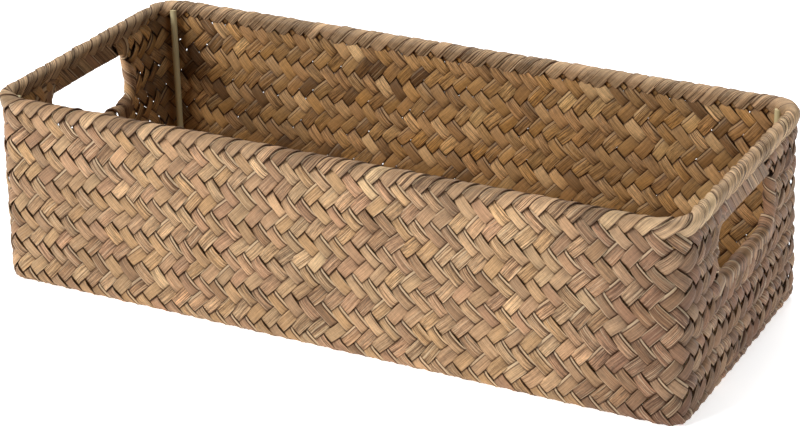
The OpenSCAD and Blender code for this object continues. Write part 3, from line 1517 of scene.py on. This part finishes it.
@dataclass(frozen=True)
class Studio:
    """A pale floor, soft lights and the camera."""

    length: float
    azimuth: float = math.radians(28.12)
    elevation: float = math.radians(24.27)
    roll: float = math.radians(-1.15)
    lens: float = 104.3
    sensor: float = 36.0
    distance_share: float = 3.119
    aim_share: tuple[float, float, float] = (0.02, -0.0214, 0.12)

    def build(self) -> None:
        """Makes the floor, the lights, the sky and the camera."""
        self._floor()
        self._lights()
        self._camera()

    def _floor(self) -> None:
        """Makes the floor."""
        shape = bmesh.new()
        bmesh.ops.create_grid(shape, x_segments=1, y_segments=1, size=6.0)
        mesh = bpy.data.meshes.new("studio_floor")
        shape.to_mesh(mesh)
        shape.free()
        mesh.materials.append(BackdropFinish("pale_floor", (0.94, 0.94, 0.94)).build())
        floor = bpy.data.objects.new("studio_floor", mesh)
        bpy.context.scene.collection.objects.link(floor)

    def _area(
        self,
        name: str,
        place: Sequence[float],
        aim: Sequence[float],
        size: float,
        power: float,
        colour: Colour = (1.0, 1.0, 1.0),
    ) -> None:
        """Adds a soft light.

        Args:
            name: the light's name.
            place: where it stands.
            aim: what it points at.
            size: the side of its square.
            power: its power in watts.
            colour: its colour.
        """
        light = bpy.data.lights.new(name, "AREA")
        light.color = colour
        light.shape = "SQUARE"
        light.size = size
        light.energy = power
        lamp = bpy.data.objects.new(name, light)
        lamp.location = place
        lamp.rotation_euler = (Vector(aim) - Vector(place)).to_track_quat("-Z", "Y").to_euler()
        bpy.context.scene.collection.objects.link(lamp)

    def _lights(self) -> None:
        """Makes the soft lights and a dim white sky."""
        self._area("key", (-1.75, -3.05, 1.9), (0, 0, 0.04), 1.2, 109.0)
        self._area("overhead", (-0.3, 0.9, 1.9), (0, 0, 0), 1.2, 32.0)
        self._area("end_fill", (2.3, -0.5, 0.7), (0.1, 0, 0.05), 1.2, 8.0, (0.78, 0.90, 1.0))
        world = bpy.data.worlds.new("studio")
        world.use_nodes = True
        background = world.node_tree.nodes["Background"]
        background.inputs["Color"].default_value = (0.94, 0.97, 1.0, 1.0)
        background.inputs["Strength"].default_value = 0.10
        bpy.context.scene.world = world
        bpy.context.scene.view_settings.view_transform = "Standard"

    def _camera(self) -> None:
        """Makes the camera."""
        across, up = math.sin(self.azimuth), math.cos(self.azimuth)
        level = math.cos(self.elevation)
        back = Vector((across * level, -up * level, math.sin(self.elevation)))
        aim = Vector(self.aim_share) * self.length
        right = Vector((up, across, 0.0))
        top = back.cross(right)
        turned_right = right * math.cos(self.roll) + top * math.sin(self.roll)
        turned_top = top * math.cos(self.roll) - right * math.sin(self.roll)
        data = bpy.data.cameras.new("camera")
        data.lens = self.lens
        data.sensor_width = self.sensor
        camera = bpy.data.objects.new("camera", data)
        basis = Matrix((turned_right, turned_top, back)).transposed().to_4x4()
        camera.matrix_world = Matrix.Translation(aim + back * self.distance_share * self.length) @ basis
        bpy.context.scene.collection.objects.link(camera)
        bpy.context.scene.camera = camera


WALL_TONES = (
    (0.00, linear(142, 108, 76)),
    (0.14, linear(154, 120, 88)),
    (0.30, linear(176, 134, 100)),
    (0.44, linear(168, 134, 99)),
    (0.58, linear(180, 141, 97)),
    (0.72, linear(174, 142, 105)),
    (0.86, linear(190, 147, 108)),
    (1.00, linear(208, 174, 130)),
)
INSIDE_TONES = (
    (0.00, linear(112, 80, 46)),
    (0.18, linear(148, 110, 66)),
    (0.36, linear(178, 134, 84)),
    (0.50, linear(166, 128, 80)),
    (0.64, linear(180, 134, 76)),
    (0.80, linear(192, 150, 98)),
    (1.00, linear(218, 178, 122)),
)
RIM_TONES = (
    (0.00, linear(128, 98, 70)),
    (0.25, linear(158, 127, 95)),
    (0.50, linear(172, 138, 102)),
    (0.75, linear(182, 144, 108)),
    (1.00, linear(202, 170, 128)),
)


def post_places(shell: Shell) -> tuple[float, ...]:
    """Finds the s beside each corner post.

    Args:
        shell: the walls' sheet.

    Returns:
        The s of each post.
    """
    places = []
    for side, corner in ((1, 1), (1, -1), (-1, 1), (-1, -1)):
        name = f"corner_post_{'back' if corner > 0 else 'front'}_{'right' if side > 0 else 'left'}"
        low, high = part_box(name)
        centre = 0.5 * (low + high)
        axis_x = side * (shell.half_l - shell.rim_r)
        axis_y = corner * (shell.half_w - shell.rim_r)
        turn = (2 * math.atan2(centre.y - axis_y, centre.x - axis_x) / math.pi + 1) % 4
        part = 2 * int(turn) + 1
        start, end = shell.bounds[part], shell.bounds[part + 1]
        places.append(float(start + (turn - int(turn)) * (end - start)))
    return tuple(places)


def settle(piece: bpy.types.Object, slot: Slot, nodes: Sequence[str]) -> None:
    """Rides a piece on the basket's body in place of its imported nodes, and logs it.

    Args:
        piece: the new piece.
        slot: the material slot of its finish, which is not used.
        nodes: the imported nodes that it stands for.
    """
    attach(piece, "root")
    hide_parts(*nodes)
    LOG.info("%s: %d faces", piece.name, len(piece.data.polygons))


def main() -> None:
    """Builds the basket round its frame, then the studio."""
    logging.basicConfig(level=logging.INFO)
    half_l, half_w, height = CAD_BOX[1]
    wall_low, wall_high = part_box("wall_front")
    wall_mid_y = -0.5 * (wall_low.y + wall_high.y)
    proud = half_w - wall_mid_y
    shell = Shell(
        half_l=half_l - proud + 1.0 * MM,
        half_w=wall_mid_y,
        height=height,
        rim_r=17.0 * MM - proud,
        base_r=8.5 * MM,
        turn_r=1.5 * MM,
        floor_z=0.9 * MM,
        flare=0.9 * MM,
        spread=1.0 * MM,
        tilt=0.8 * MM,
        sway=0.26 * MM,
    )
    columns = 121
    twill = Twill(columns, pitch_s=shell.around / columns, pitch_h=9.05 * MM, rising_mark=18.5)
    wave = Wave(lift=1.18 * MM, crown=0.42 * MM)

    hole_low, hole_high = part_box("handle_wrap_right")
    holes = {
        side: HandHole(
            width=hole_high.y - hole_low.y - 14 * MM,
            low=hole_low.z + 9 * MM,
            high=hole_high.z - gap,
            lower_r=11.5 * MM,
            upper_r=3.4 * MM,
            splay=splay,
            centre=centre,
            near_nose=near_nose,
        )
        for side, gap, splay, centre, near_nose in (
            (Side.LEFT, 8 * MM, 0.16, 0.0, 2.75 * MM),
            (Side.RIGHT, 10 * MM, 0.10, -2.5 * MM, 1.3 * MM),
        )
    }
    # The leaf paints shade on the right end's outside.
    leaf = LeafFinish("plaited_leaf", WALL_TONES, INSIDE_TONES, painted_end_shade=0.53)
    # The binding paints light on the rim's back and ends.
    bound = LeafFinish(
        "bound_leaf", RIM_TONES, RIM_TONES, streaks=0.75, lines=0.85, bump=0.00045,
        seam=0.41, painted_back_and_end_light=0.42, pale_lines=0.22, lighten=0.0,
    )
    # The hole folds also paint shade on the right end's outside.
    hole_leaf = LeafFinish(
        "hole_leaf", WALL_TONES, WALL_TONES, streaks=0.60, lines=0.50,
        seam=0.41, painted_end_shade=0.38, pale_lines=0.12, lighten=0.0,
    )

    neighbours = {
        Side.FRONT: "front_right", Side.RIGHT: "back_right", Side.BACK: "back_left", Side.LEFT: "front_left",
    }
    walls = PlaitedWalls(shell, twill, holes, wave, leaf)
    for (side, _), piece in walls.build().items():
        settle(piece, Slot.LEAF, (f"wall_{side.value}", f"wall_corner_{neighbours[side]}"))

    section = RimSection(
        shell=shell,
        low=95.0 * MM,
        axis_h=101.6 * MM,
        radius=2.95 * MM,
        inner_low=98.0 * MM,
        flat=1.2 * MM,
        post_s=post_places(shell),
        post_bulge=2.4 * MM,
    )
    for side, piece in RimBinding(section, twill, walls, bound).build().items():
        settle(piece, Slot.BOUND, (f"rim_binding_{side.value}", f"rim_corner_{neighbours[side]}", "rim_wire"))

    for side in (Side.LEFT, Side.RIGHT):
        piece = HandHoleWrap(side, shell, holes[side], hole_leaf).build()
        settle(piece, Slot.BOUND, (f"handle_wrap_{side.value}", f"handle_wire_{side.value}"))

    floor = PlaitedFloor(
        half_l=shell.half_l - 3.2 * MM,
        half_w=shell.half_w - 3.2 * MM,
        corner_r=8 * MM,
        middle_z=2.0 * MM,
        pitch=twill.pitch_s,
        wave=Wave(lift=0.72 * MM, crown=0.2 * MM),
        finish=leaf,
    )
    settle(floor.build(), Slot.LEAF, ("floor_weave",))

    wires = tuple(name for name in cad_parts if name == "base_wire" or "post" in name)
    WireFrame(CoatedWireFinish(Slot.WIRE.value, linear(214, 200, 154), linear(224, 210, 166)), wires).dress()
    Studio(2 * half_l).build()


if __name__ == "__main__":
    main()
